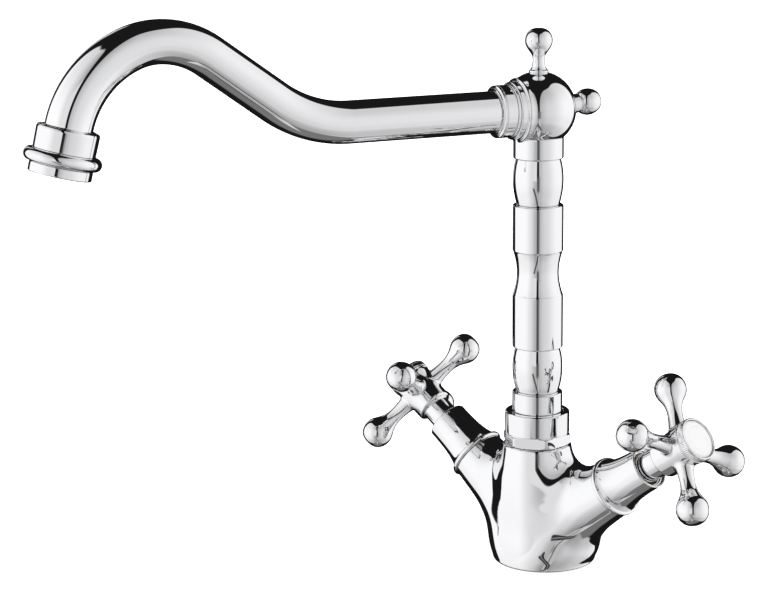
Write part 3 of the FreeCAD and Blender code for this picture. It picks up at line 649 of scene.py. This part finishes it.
v, f, n = net(ball_field, (-19.5, -19.5, -19.5), (19.5, 19.5, 19.5), 0.42)
make("ball_head_cast", out_of(ALONG, v), f, turn_of(ALONG, n), TURNED, "spout", ("ball_head",))

Z0 = BALL_Z + BALL_R
lathe("finial_teardrop", ROW, [(0, Z0 - 5.0), (2.5, Z0 - 5.0), (2.5, Z0 - 0.5), (4.55, Z0 - 0.65), (4.9, Z0 + 0.1), (4.75, Z0 + 0.6),
                               [(4.25, Z0 + 0.85), (3.5, Z0 + 2.1), (3.1, Z0 + 3.9), (2.97, Z0 + 5.6), (3.2, Z0 + 7.3), (3.8, Z0 + 8.5), (4.95, Z0 + 10.2),
                                (6.1, Z0 + 12.1), (6.7, Z0 + 14.1), (6.62, Z0 + 16.2), (5.8, Z0 + 18.3), (4.4, Z0 + 19.8), (2.45, Z0 + 20.7), (0.0, Z0 + 21.0)]],
      TURNED, "spout", ("finial",), closed=False, seg=72)
lathe("rear_knob_round", BEHIND, [(0, 13.0), (2.5, 13.0), (2.5, 17.3), (4.7, 17.4), (4.75, 18.0), (4.75, 20.7), (4.4, 21.0), (4.35, 21.5),
                                  [(4.45, 21.75), (5.3, 22.65), (6.1, 24.2), (6.5, 26.0), (6.45, 27.8), (5.75, 30.2), (4.4, 32.1), (2.3, 33.25), (0.0, 33.6)]],
      TURNED, "spout", ("rear_knob",), closed=False, seg=72)

# ================================================================== spout
lathe("spout_groove_ring_turned", ALONG, [(10.35, 15.45), (12.9, 15.45), (13.2, 15.7), (13.2, 16.4), (12.9, 16.65), (10.35, 16.65)], TURNED, "spout", ("spout_groove_ring",), soft=0.08)
lathe("spout_coupling_turned", ALONG, [(10.3, 16.7), (12.3, 16.7), (12.35, 17.5), (12.75, 17.6), (12.8, 22.2), (12.35, 22.35), (12.35, 22.6), (12.8, 22.75), (12.75, 23.4), (12.3, 23.6),
                                       (11.5, 23.65), (11.4, 24.25), (10.3, 24.3)], TURNED, "spout", ("spout_coupling",), soft=0.08)

SP_R, SP_W = 10.2, 1.2
rs = math.radians(36.0)
R_LOW, R_IN, R_OUT, R_END = 63.0, 40.0, 36.5, 48.7
SP_END = 11.0            # the tube widens a little from the crest to the outlet
CREST = (191.0, 272.1)
TEND, T45 = math.radians(76.0), math.radians(22.6)
p_in = (CREST[0] - R_IN * math.sin(rs), CREST[1] - R_IN * (1 - math.cos(rs)))
s_corner = p_in[0] - (p_in[1] - BALL_Z) / math.tan(rs)
tl_ = R_LOW * math.tan(rs / 2)
s_low = s_corner - tl_
p45 = (CREST[0] + R_OUT * math.sin(T45), CREST[1] - R_OUT * (1 - math.cos(T45)))
p_arc = (p45[0] + R_END * (math.sin(TEND) - math.sin(T45)), p45[1] - R_END * (math.cos(T45) - math.cos(TEND)))
p_end = (p_arc[0] + 2.0 * math.cos(TEND), p_arc[1] - 2.0 * math.sin(TEND))


def spout_line():
    """(distance, height, direction) along the spout's centre line."""
    out = [(8.5 + t * (s_low - 8.5), BALL_Z, 0.0) for t in np.linspace(0, 1, 40, endpoint=False)]
    out += [(s_low + R_LOW * math.sin(a), BALL_Z + R_LOW * (1 - math.cos(a)), a) for a in np.linspace(0, rs, 30, endpoint=False)]
    p_low = (s_corner + tl_ * math.cos(rs), BALL_Z + tl_ * math.sin(rs))
    out += [(p_low[0] + t * (p_in[0] - p_low[0]), p_low[1] + t * (p_in[1] - p_low[1]), rs) for t in np.linspace(0, 1, 10, endpoint=False)]
    out += [(CREST[0] + R_IN * math.sin(a), CREST[1] - R_IN * (1 - math.cos(a)), -a) for a in np.linspace(-rs, 0, 30, endpoint=False)]
    out += [(CREST[0] + R_OUT * math.sin(a), CREST[1] - R_OUT * (1 - math.cos(a)), -a) for a in np.linspace(0, T45, 36, endpoint=False)]
    c = (p45[0] - R_END * math.sin(T45), p45[1] - R_END * math.cos(T45))
    out += [(c[0] + R_END * math.sin(a), c[1] + R_END * math.cos(a), -a) for a in np.linspace(T45, TEND, 44)]
    out += [(p_arc[0] + t * (p_end[0] - p_arc[0]), p_arc[1] + t * (p_end[1] - p_arc[1]), -TEND) for t in (0.5, 1.0)]
    return np.array(out)


def tube_mesh():
    ln = spout_line()
    seg = 96
    th = np.arange(seg) * 2 * math.pi / seg
    rings, norms = [], []

    def ring(i, r, sgn, along=0.0):
        s, z, a = ln[i]
        t = np.array([math.cos(a), math.sin(a)])
        m = np.array([-math.sin(a), math.cos(a)])
        c2 = np.array([s, z]) + t * along
        p = c2 + np.cos(th)[:, None] * r * m
        w = np.sin(th) * r
        pts = p[:, :1] * SD + w[:, None] * SN + p[:, 1:2] * UP
        nv = (np.cos(th)[:, None] * m) * sgn
        nn = nv[:, :1] * SD + (np.sin(th) * sgn)[:, None] * SN + nv[:, 1:2] * UP
        rings.append(pts)
        norms.append(nn)
    fall = np.clip(-ln[:, 2] / TEND, 0, 1)
    rad = SP_R + (SP_END - SP_R) * fall * fall * (3 - 2 * fall)
    for i in range(len(ln)):
        ring(i, rad[i], 1.0)
    for i in range(len(ln) - 1, -1, -1):
        ring(i, rad[i] - SP_W, -1.0)
    k = len(rings)
    v = np.array(rings).reshape(-1, 3)
    n = np.array(norms).reshape(-1, 3)
    i = np.arange(k)[:, None]
    j = np.arange(seg)[None]
    f = np.stack([i * seg + j, ((i + 1) % k) * seg + j, ((i + 1) % k) * seg + (j + 1) % seg, i * seg + (j + 1) % seg], -1).reshape(-1, 4)
    return v, f, n


v, f, n = tube_mesh()
make("spout_tube_bent", v, f, n, TUBE, "spout", ("spout_tube",))

nz_ = math.cos(TEND) * SD - math.sin(TEND) * UP
nx_ = math.sin(TEND) * SD + math.cos(TEND) * UP
OUTLET = (p_end[0] * SD + p_end[1] * UP, nx_, np.cross(nz_, nx_), nz_)
lathe("nozzle_collar_turned", OUTLET, [(11.05, -2.2), (11.9, -2.2), (12.3, -2.05), (12.45, -1.75), (13.5, -1.7), (14.2, -1.25), (14.45, -0.4), (14.3, 8.9), (11.6, 8.95), (11.6, 0.3), (11.05, 0.3)],
      TURNED, "spout", ("nozzle_collar",), seg=112)
lathe("nozzle_ring_rolled", OUTLET, [(11.7, 9.0), (14.4, 9.0), [(14.6, 9.02), (16.3, 9.4), (17.4, 10.5), (17.83, 12.1), (17.4, 13.7), (16.3, 14.8), (14.6, 15.18)], (14.4, 15.2), (11.7, 15.2)],
      TURNED, "spout", ("nozzle_ring",), seg=128, soft=0.1)
lathe("aerator_housing_turned", OUTLET, [(10.4, 2.0), (11.5, 2.0), (11.5, 15.3), (14.2, 15.3), (14.5, 15.55), (14.5, 19.45), (14.15, 19.85), (12.0, 19.85), (11.5, 19.15), (11.5, 17.85), (10.4, 17.85)],
      TURNED, "spout", ("aerator_housing",), seg=112, soft=0.1)

# ================================================================== valves and handles
ARM = [(0.0, 0.0), (5.2, 0.0), [(5.0, 6.0), (4.7, 9.2), (4.25, 11.8), (3.85, 15.0), (3.7, 17.8), (3.85, 20.5), (4.45, 23.2), (5.6, 25.8),
                                (6.9, 28.0), (7.75, 30.2), (7.9, 32.2), (7.5, 34.6), (6.3, 36.9), (4.3, 38.6), (2.1, 39.3), (0.0, 39.45)]]
arm_field = rev_field(ARM)
hub_field = rev_field([(0.0, -24.6), (7.35, -24.6), (7.35, -12.7), (7.75, -12.45), (8.9, -12.3), [(9.0, -12.25), (9.5, -11.9), (9.72, -11.2)],
                       (9.72, -11.1), [(9.72, -10.8), (9.78, -6.0), (9.92, -1.0), (10.17, 3.0), (10.6, 6.2)], (10.7, 7.4), (0.0, 7.4)])


def handle_field(turn):
    dirs = [(math.cos(math.radians(turn + 90 * k)), math.sin(math.radians(turn + 90 * k))) for k in range(4)]
    g = math.radians(turn + 91.5)
    gx, gy = math.cos(g), math.sin(g)

    def field(x, y, z):
        r = np.hypot(x, y)
        arms = None
        for c, s in dirs:
            u = x * c + y * s
            w = np.hypot(-x * s + y * c, z)
            a = arm_field(w, u)
            arms = a if arms is None else np.minimum(arms, a)
        d = smin(hub_field(r, z), arms, 1.3)
        # recess for the index, spindle bore, grub screw hole
        d = smax(d, -smax(r - 8.3, 3.2 - z, 0.2), 0.25)
        d = smax(d, -smax(r - 5.6, z + 12.0, 0.2), 0.25)
        d = smax(d, -smax(r - 4.08, z + 3.0, 0.2), 0.25)
        u = x * gx + y * gy
        w = np.hypot(-x * gy + y * gx, z - 5.2)
        return smax(d, -smax(w - 1.65, 6.0 - u, 0.2), 0.3)
    return field


def rim_mesh():
    """Index rim with a finely beaded outer band."""
    items = [(7.6, 4.4), (8.22, 4.4), (8.22, 7.42), (10.6, 7.45), (10.95, 7.7), (10.95, 8.15), (10.72, 8.35), (10.72, 8.6), (11.0, 8.75), (11.02, 10.9), (10.85, 11.25), (10.85, 11.5), (10.7, 11.9),
             (10.3, 12.1), (9.95, 12.0), (9.78, 11.7), (9.78, 9.4), (6.0, 9.4), (6.0, 8.2), (7.6, 8.2)]
    sm, nn, ccw = outline(items, True, 0.07)
    beads = 72
    seg = beads * 6
    th = np.arange(seg) * 2 * math.pi / seg
    R = np.broadcast_to(sm[:, 0][None], (seg, len(sm))).copy()
    Z = np.broadcast_to(sm[:, 1][None], (seg, len(sm))).copy()
    wob = 0.5 + 0.5 * np.cos(beads * th)
    band = ((sm[:, 1] > 8.62) & (sm[:, 1] < 11.1) & (sm[:, 0] > 10.6)).astype(float)
    for j in np.where(band > 0)[0]:
        zc = (sm[j, 1] - 9.85) / 1.15
        R[:, j] -= 0.22 * (1 - wob) * max(0.0, 1 - zc ** 4)
    v = np.stack([R * np.cos(th)[:, None], R * np.sin(th)[:, None], Z], -1)
    k = len(sm)
    du = np.roll(v, -1, 0) - np.roll(v, 1, 0)
    dv = np.roll(v, -1, 1) - np.roll(v, 1, 1)
    n = np.cross(du, dv)
    n /= np.maximum(np.linalg.norm(n, axis=2, keepdims=True), 1e-12)
    i = np.arange(seg)[:, None]
    j = np.arange(k)[None]
    f = np.stack([i * k + j, ((i + 1) % seg) * k + j, ((i + 1) % seg) * k + (j + 1) % k, i * k + (j + 1) % k], -1).reshape(-1, 4)
    if not ccw:
        f = f[:, ::-1]
        n = -n
    v = v.reshape(-1, 3)
    v[:, 2] += HUB
    return v, f, n.reshape(-1, 3)


rim = rim_mesh()
H = HUB
for side in ("right", "left"):
    fr = valve_frame(side)
    lathe(side + "_bell", fr, [(13.3, 53.1), (14.4, 53.1), [(14.5, 53.12), (15.1, 53.55), (15.25, 54.3), (15.1, 55.05), (14.5, 55.5)],
                               [(13.95, 55.65), (13.15, 57.2), (12.4, 59.6), (11.75, 62.6), (11.3, 66.0), (11.0, 70.0), (10.85, 74.0), (10.75, 77.4)],
                               (10.75, 78.7), (10.4, 79.15), (9.95, 79.2), (9.65, 78.9), (9.6, 77.6), (8.9, 77.5), (8.85, 76.5), (8.35, 76.4), (8.35, 73.4),
                               (10.0, 73.4), (10.0, 71.4), (8.75, 71.4), (8.75, 64.0), (10.4, 64.0), [(10.4, 64.0), (11.0, 60.5), (12.2, 57.3), (13.3, 55.6)]],
          TURNED, "body", (side + "_bell_shroud",), soft=0.1, seg=112)
    v, f, n = net(handle_field(TURN[side]), (-41.0, -41.0, -26.0), (41.0, 41.0, 9.5), 0.5)
    v = v + np.array([0, 0, H])
    make(side + "_handle_cross", out_of(fr, v), f, turn_of(fr, n), CAST, side + "_handle", (side + "_cross_handle",))
    v, f, n = rim
    make(side + "_rim_beaded", out_of(fr, v), f, turn_of(fr, n), TURNED, side + "_handle", (side + "_index_rim",))
    lathe(side + "_index_porcelain", fr, [(0, H + 9.45), (9.7, H + 9.45), (9.72, H + 11.0), [(9.55, H + 11.25), (8.6, H + 11.5), (6.75, H + 11.75)], (6.6, H + 11.68), (6.45, H + 11.68),
                                          [(6.3, H + 11.8), (3.5, H + 11.95), (0.0, H + 12.0)]],
          GLAZE, side + "_handle", (side + "_index_disc",), closed=False, soft=0.07, seg=112)

# ================================================================== stage, light and camera
KAP, PITCH, ROLL, FOCAL = math.radians(-4.15), math.radians(12.48), math.radians(-0.65), 2171.05
PHI = math.radians(38.5)
CAM = np.array([654.7, -823.0 - FOOT_BACK, 370.0])


def to_cad(w):
    return np.array([w[0] * math.cos(PHI) - w[1] * math.sin(PHI), w[0] * math.sin(PHI) + w[1] * math.cos(PHI), w[2]])


F = to_cad([math.sin(KAP) * math.cos(PITCH), math.cos(KAP) * math.cos(PITCH), -math.sin(PITCH)])
Rt = to_cad([math.cos(KAP), -math.sin(KAP), 0.0])
Ut = np.cross(Rt, F)
R2 = math.cos(ROLL) * Rt + math.sin(ROLL) * Ut
U2 = -math.sin(ROLL) * Rt + math.cos(ROLL) * Ut
cam = bpy.data.cameras.new("camera")
cam.sensor_fit = "HORIZONTAL"
cam.sensor_width = 36.0
cam.lens = FOCAL / 768.0 * 36.0
cam.clip_start, cam.clip_end = 0.05, 60.0
cam_ob = bpy.data.objects.new("camera", cam)
bpy.context.scene.collection.objects.link(cam_ob)
m = Matrix([[R2[0], U2[0], -F[0], CAM[0] * MM], [R2[1], U2[1], -F[1], CAM[1] * MM], [R2[2], U2[2], -F[2], CAM[2] * MM], [0, 0, 0, 1]])
cam_ob.matrix_world = m
bpy.context.scene.camera = cam_ob


def emission(name, colour, strength):
    mt = bpy.data.materials.new(name)
    mt.use_nodes = True
    t = mt.node_tree
    t.nodes.clear()
    e = t.nodes.new("ShaderNodeEmission")
    e.inputs["Color"].default_value = (*colour, 1)
    e.inputs["Strength"].default_value = strength
    o = t.nodes.new("ShaderNodeOutputMaterial")
    t.links.new(e.outputs[0], o.inputs["Surface"])
    return mt


def stage_mesh(name, verts, faces, mat):
    me = bpy.data.meshes.new(name)
    me.from_pydata(verts, [], faces)
    me.materials.append(mat)
    me.polygons.foreach_set("use_smooth", np.ones(len(faces), bool))
    ob = bpy.data.objects.new(name, me)
    bpy.context.scene.collection.objects.link(ob)
    return ob


def disc(r, z, k=64):
    return [(r * math.cos(2 * math.pi * i / k), r * math.sin(2 * math.pi * i / k), z) for i in range(k)], [tuple(range(k))]


# pale floor, lit and also faintly lit from within, so that it stays as pale far off as it is close by
fm = Nodes("floor_white")
fm.to(fm.colours(fm.noise(6.0, 4.0), (0.88, 0.88, 0.885), (0.91, 0.91, 0.915)), "Base Color")
fm.put("Roughness", 0.9)
fm.put("Specular IOR Level", 0.0)
fl = fm.t.nodes.new("ShaderNodeVectorMath")
fl.operation = "LENGTH"
fm.t.links.new(fm.co, fl.inputs[0])
glow = fm.spread(fl.outputs["Value"], 0.62, 1.05, 0.22, 0.75)
fm.put("Emission Color", (1, 1, 1, 1))
fm.to(glow, "Emission Strength")
vv, ff = disc(6.0, -0.0002, 96)
floor = stage_mesh("floor", vv, ff, fm.mat)
floor.visible_glossy = False


# white surround that only the camera sees
def dome(r, rows=24, cols=48):
    vs, fs = [(0, 0, r), (0, 0, -r)], []
    for i in range(1, rows):
        a = math.pi * i / rows
        for j in range(cols):
            b = 2 * math.pi * j / cols
            vs.append((r * math.sin(a) * math.cos(b), r * math.sin(a) * math.sin(b), r * math.cos(a)))
    for i in range(rows - 2):
        for j in range(cols):
            p = 2 + i * cols
            fs.append((p + j, p + (j + 1) % cols, p + cols + (j + 1) % cols, p + cols + j))
    for j in range(cols):
        fs.append((0, 2 + (j + 1) % cols, 2 + j))
        fs.append((1, 2 + (rows - 2) * cols + j, 2 + (rows - 2) * cols + (j + 1) % cols))
    return vs, fs


vv, ff = dome(12.0)
surround = stage_mesh("surround", vv, ff, emission("surround_white", (1, 1, 1), 1.0))
surround.visible_glossy = surround.visible_diffuse = surround.visible_shadow = surround.visible_transmission = False


# studio round the tap: two large soft boxes with a narrow gap at the camera, dark ceiling, dark behind
def studio():
    w = bpy.data.worlds.new("studio")
    bpy.context.scene.world = w
    w.use_nodes = True
    t = w.node_tree
    t.nodes.clear()
    N, L = t.nodes.new, t.links.new

    def link(a, b):
        if isinstance(a, (int, float)):
            b.default_value = a
        else:
            L(a, b)

    def mth(op, a, b=0.0):
        n = N("ShaderNodeMath")
        n.operation = op
        link(a, n.inputs[0])
        link(b, n.inputs[1])
        return n.outputs[0]

    def ramp(x, a, b):
        """0 at a and 1 at b, smooth between, held outside (a may be the larger one)."""
        n = N("ShaderNodeMapRange")
        n.interpolation_type = "SMOOTHSTEP"
        link(x, n.inputs["Value"])
        n.inputs["From Min"].default_value = min(a, b)
        n.inputs["From Max"].default_value = max(a, b)
        n.inputs["To Min"].default_value = 0.0 if a < b else 1.0
        n.inputs["To Max"].default_value = 1.0 if a < b else 0.0
        return n.outputs[0]

    def mul(*a):
        out = a[0]
        for b in a[1:]:
            out = mth("MULTIPLY", out, b)
        return out

    def blend(m, a, b):
        """b where m is 1, a where it is 0"""
        return mth("ADD", mul(mth("SUBTRACT", 1.0, m), a), mul(m, b))

    tc = N("ShaderNodeTexCoord")
    sep = N("ShaderNodeSeparateXYZ")
    L(tc.outputs["Generated"], sep.inputs[0])
    x, y, z = sep.outputs
    fwd = unit([F[0], F[1], 0])
    right = unit([Rt[0], Rt[1], 0])
    # azimuth in degrees, 0 towards the camera, positive to its right
    back = mth("ADD", mul(x, -fwd[0]), mul(y, -fwd[1]))
    side = mth("ADD", mul(x, right[0]), mul(y, right[1]))
    az = mul(mth("ARCTAN2", side, back), 180 / math.pi)
    el = mul(mth("ARCSINE", z), 180 / math.pi)

    def box(a, inner, outer, low, high, foot):
        """Soft box with rounded corners, a = azimuth counted away from the camera."""
        c, h = (inner + outer) / 2, (outer - inner) / 2
        u = mul(mth("SUBTRACT", a, c), 1 / h)
        v = mth("ABSOLUTE", mul(mth("SUBTRACT", el, (low + high) / 2), 2 / (high - low)))
        top = mth("GREATER_THAN", el, (low + high) / 2)
        p = blend(mth("GREATER_THAN", u, 0.0), blend(top, 7.0, 4.3), blend(top, foot, 3.3))
        d = mth("ADD", mth("POWER", mth("ABSOLUTE", u), p), mth("POWER", v, p))
        return ramp(mth("POWER", d, mth("DIVIDE", 1.0, p)), 1.022, 0.985)

    neg = mul(az, -1.0)
    upper = ramp(el, -6.0, 2.0)
    rbox = box(az, 0.5, 133.0, -69.0, 64.0, 3.3)
    lbox = box(neg, 10.5, 128.5, -69.0, 63.0, 2.2)
    r_light = mth("ADD", mth("ADD", 0.55, mul(ramp(az, 0.0, 30.0), 0.22)), mul(ramp(az, 26.0, 92.0), 0.31))
    l_light = mth("ADD", mth("ADD", 0.52, mul(ramp(neg, 14.0, 34.0), 0.28)), mul(ramp(neg, 26.0, 66.0), 0.32))
    # brighter close to the gap above the low part
    l_light = mth("MAXIMUM", l_light, mul(ramp(el, -12.0, -5.0), ramp(el, 40.0, 25.0), 0.84))
    fall = mth("SUBTRACT", 1.0, mth("ADD", mth("ADD", mul(ramp(el, -8.0, -28.0), 0.09), mul(ramp(el, -31.0, -48.0), 0.24)),
                                    mth("ADD", mul(ramp(el, -43.0, -64.0), 0.12), mul(ramp(el, 8.0, 66.0), 0.34))))
    # what is between and round the boxes
    low_gap = mth("ADD", mul(ramp(neg, 10.4, 9.4), ramp(neg, 6.4, 7.4), 0.25),
                  mul(ramp(az, -4.2, -3.2), mth("ADD", 0.16, mul(ramp(az, 0.0, 3.5), 0.20))))
    low_gap = mul(low_gap, ramp(az, 12.0, 8.0))
    seam = mul(ramp(neg, 2.6, 3.2), ramp(neg, 6.2, 5.6))
    low_fill = blend(seam, 0.56, 0.22)
    low_gap = blend(ramp(el, -19.0, -26.0), mth("MAXIMUM", low_gap, 0.022), low_fill)
    gap = blend(upper, low_gap, 0.010)
    gap = mth("MULTIPLY", gap, mth("MAXIMUM", upper, mul(ramp(neg, 13.5, 11.5), ramp(az, 12.0, 8.0))))
    gap = mth("MAXIMUM", gap, 0.010)
    under = mul(ramp(el, -64.0, -71.0), 0.18)
    rear = mul(ramp(neg, 150.0, 151.5), ramp(neg, 163.0, 161.5), ramp(el, -12.0, -8.0), ramp(el, 38.0, 34.0), 0.60)
    dark = mth("ADD", mth("ADD", under, rear), gap)
    # below the horizon the right box starts a little further round
    rb2 = mul(rbox, mth("MAXIMUM", upper, ramp(az, 3.0, 6.5)))
    total = blend(rb2, blend(lbox, dark, mul(l_light, fall)), mul(r_light, fall))
    # a thin dark edge with a lighter core that runs down and to the right through the low part
    off = mth("ABSOLUTE", mth("ADD", az, mth("ADD", 24.0, mul(mth("ADD", el, 19.0), 0.8))))
    line = mul(ramp(off, 4.4, 3.4), ramp(el, -16.0, -18.5), ramp(el, -64.0, -58.0))
    core = ramp(off, 1.2, 0.5)
    total = blend(line, total, blend(core, 0.03, 0.24))
    bg = N("ShaderNodeBackground")
    L(total, bg.inputs["Strength"])
    bg.inputs["Color"].default_value = (1.0, 0.995, 1.0, 1)
    out = N("ShaderNodeOutputWorld")
    L(bg.outputs[0], out.inputs[0])


studio()


def area(name, pos, aim, size, power):
    """A soft light that fills the floor and the porcelain, and isn't mirrored in the chrome."""
    ld = bpy.data.lights.new(name, "AREA")
    ld.shape = "RECTANGLE"
    ld.size, ld.size_y = size
    ld.energy = power
    ob = bpy.data.objects.new(name, ld)
    bpy.context.scene.collection.objects.link(ob)
    ob.location = pos
    ob.rotation_euler = (Vector(aim) - Vector(pos)).to_track_quat("-Z", "Y").to_euler()
    ob.visible_glossy = False
    ob.visible_camera = False
    return ob


area("overhead", (0.0, 0.0, 2.4), (0, 0, 0), (3.0, 3.0), 78.0)

sc = bpy.context.scene
sc.view_settings.view_transform = "Standard"
sc.view_settings.look = "None"
sc.view_settings.exposure = 0.0
sc.view_settings.gamma = 1.0
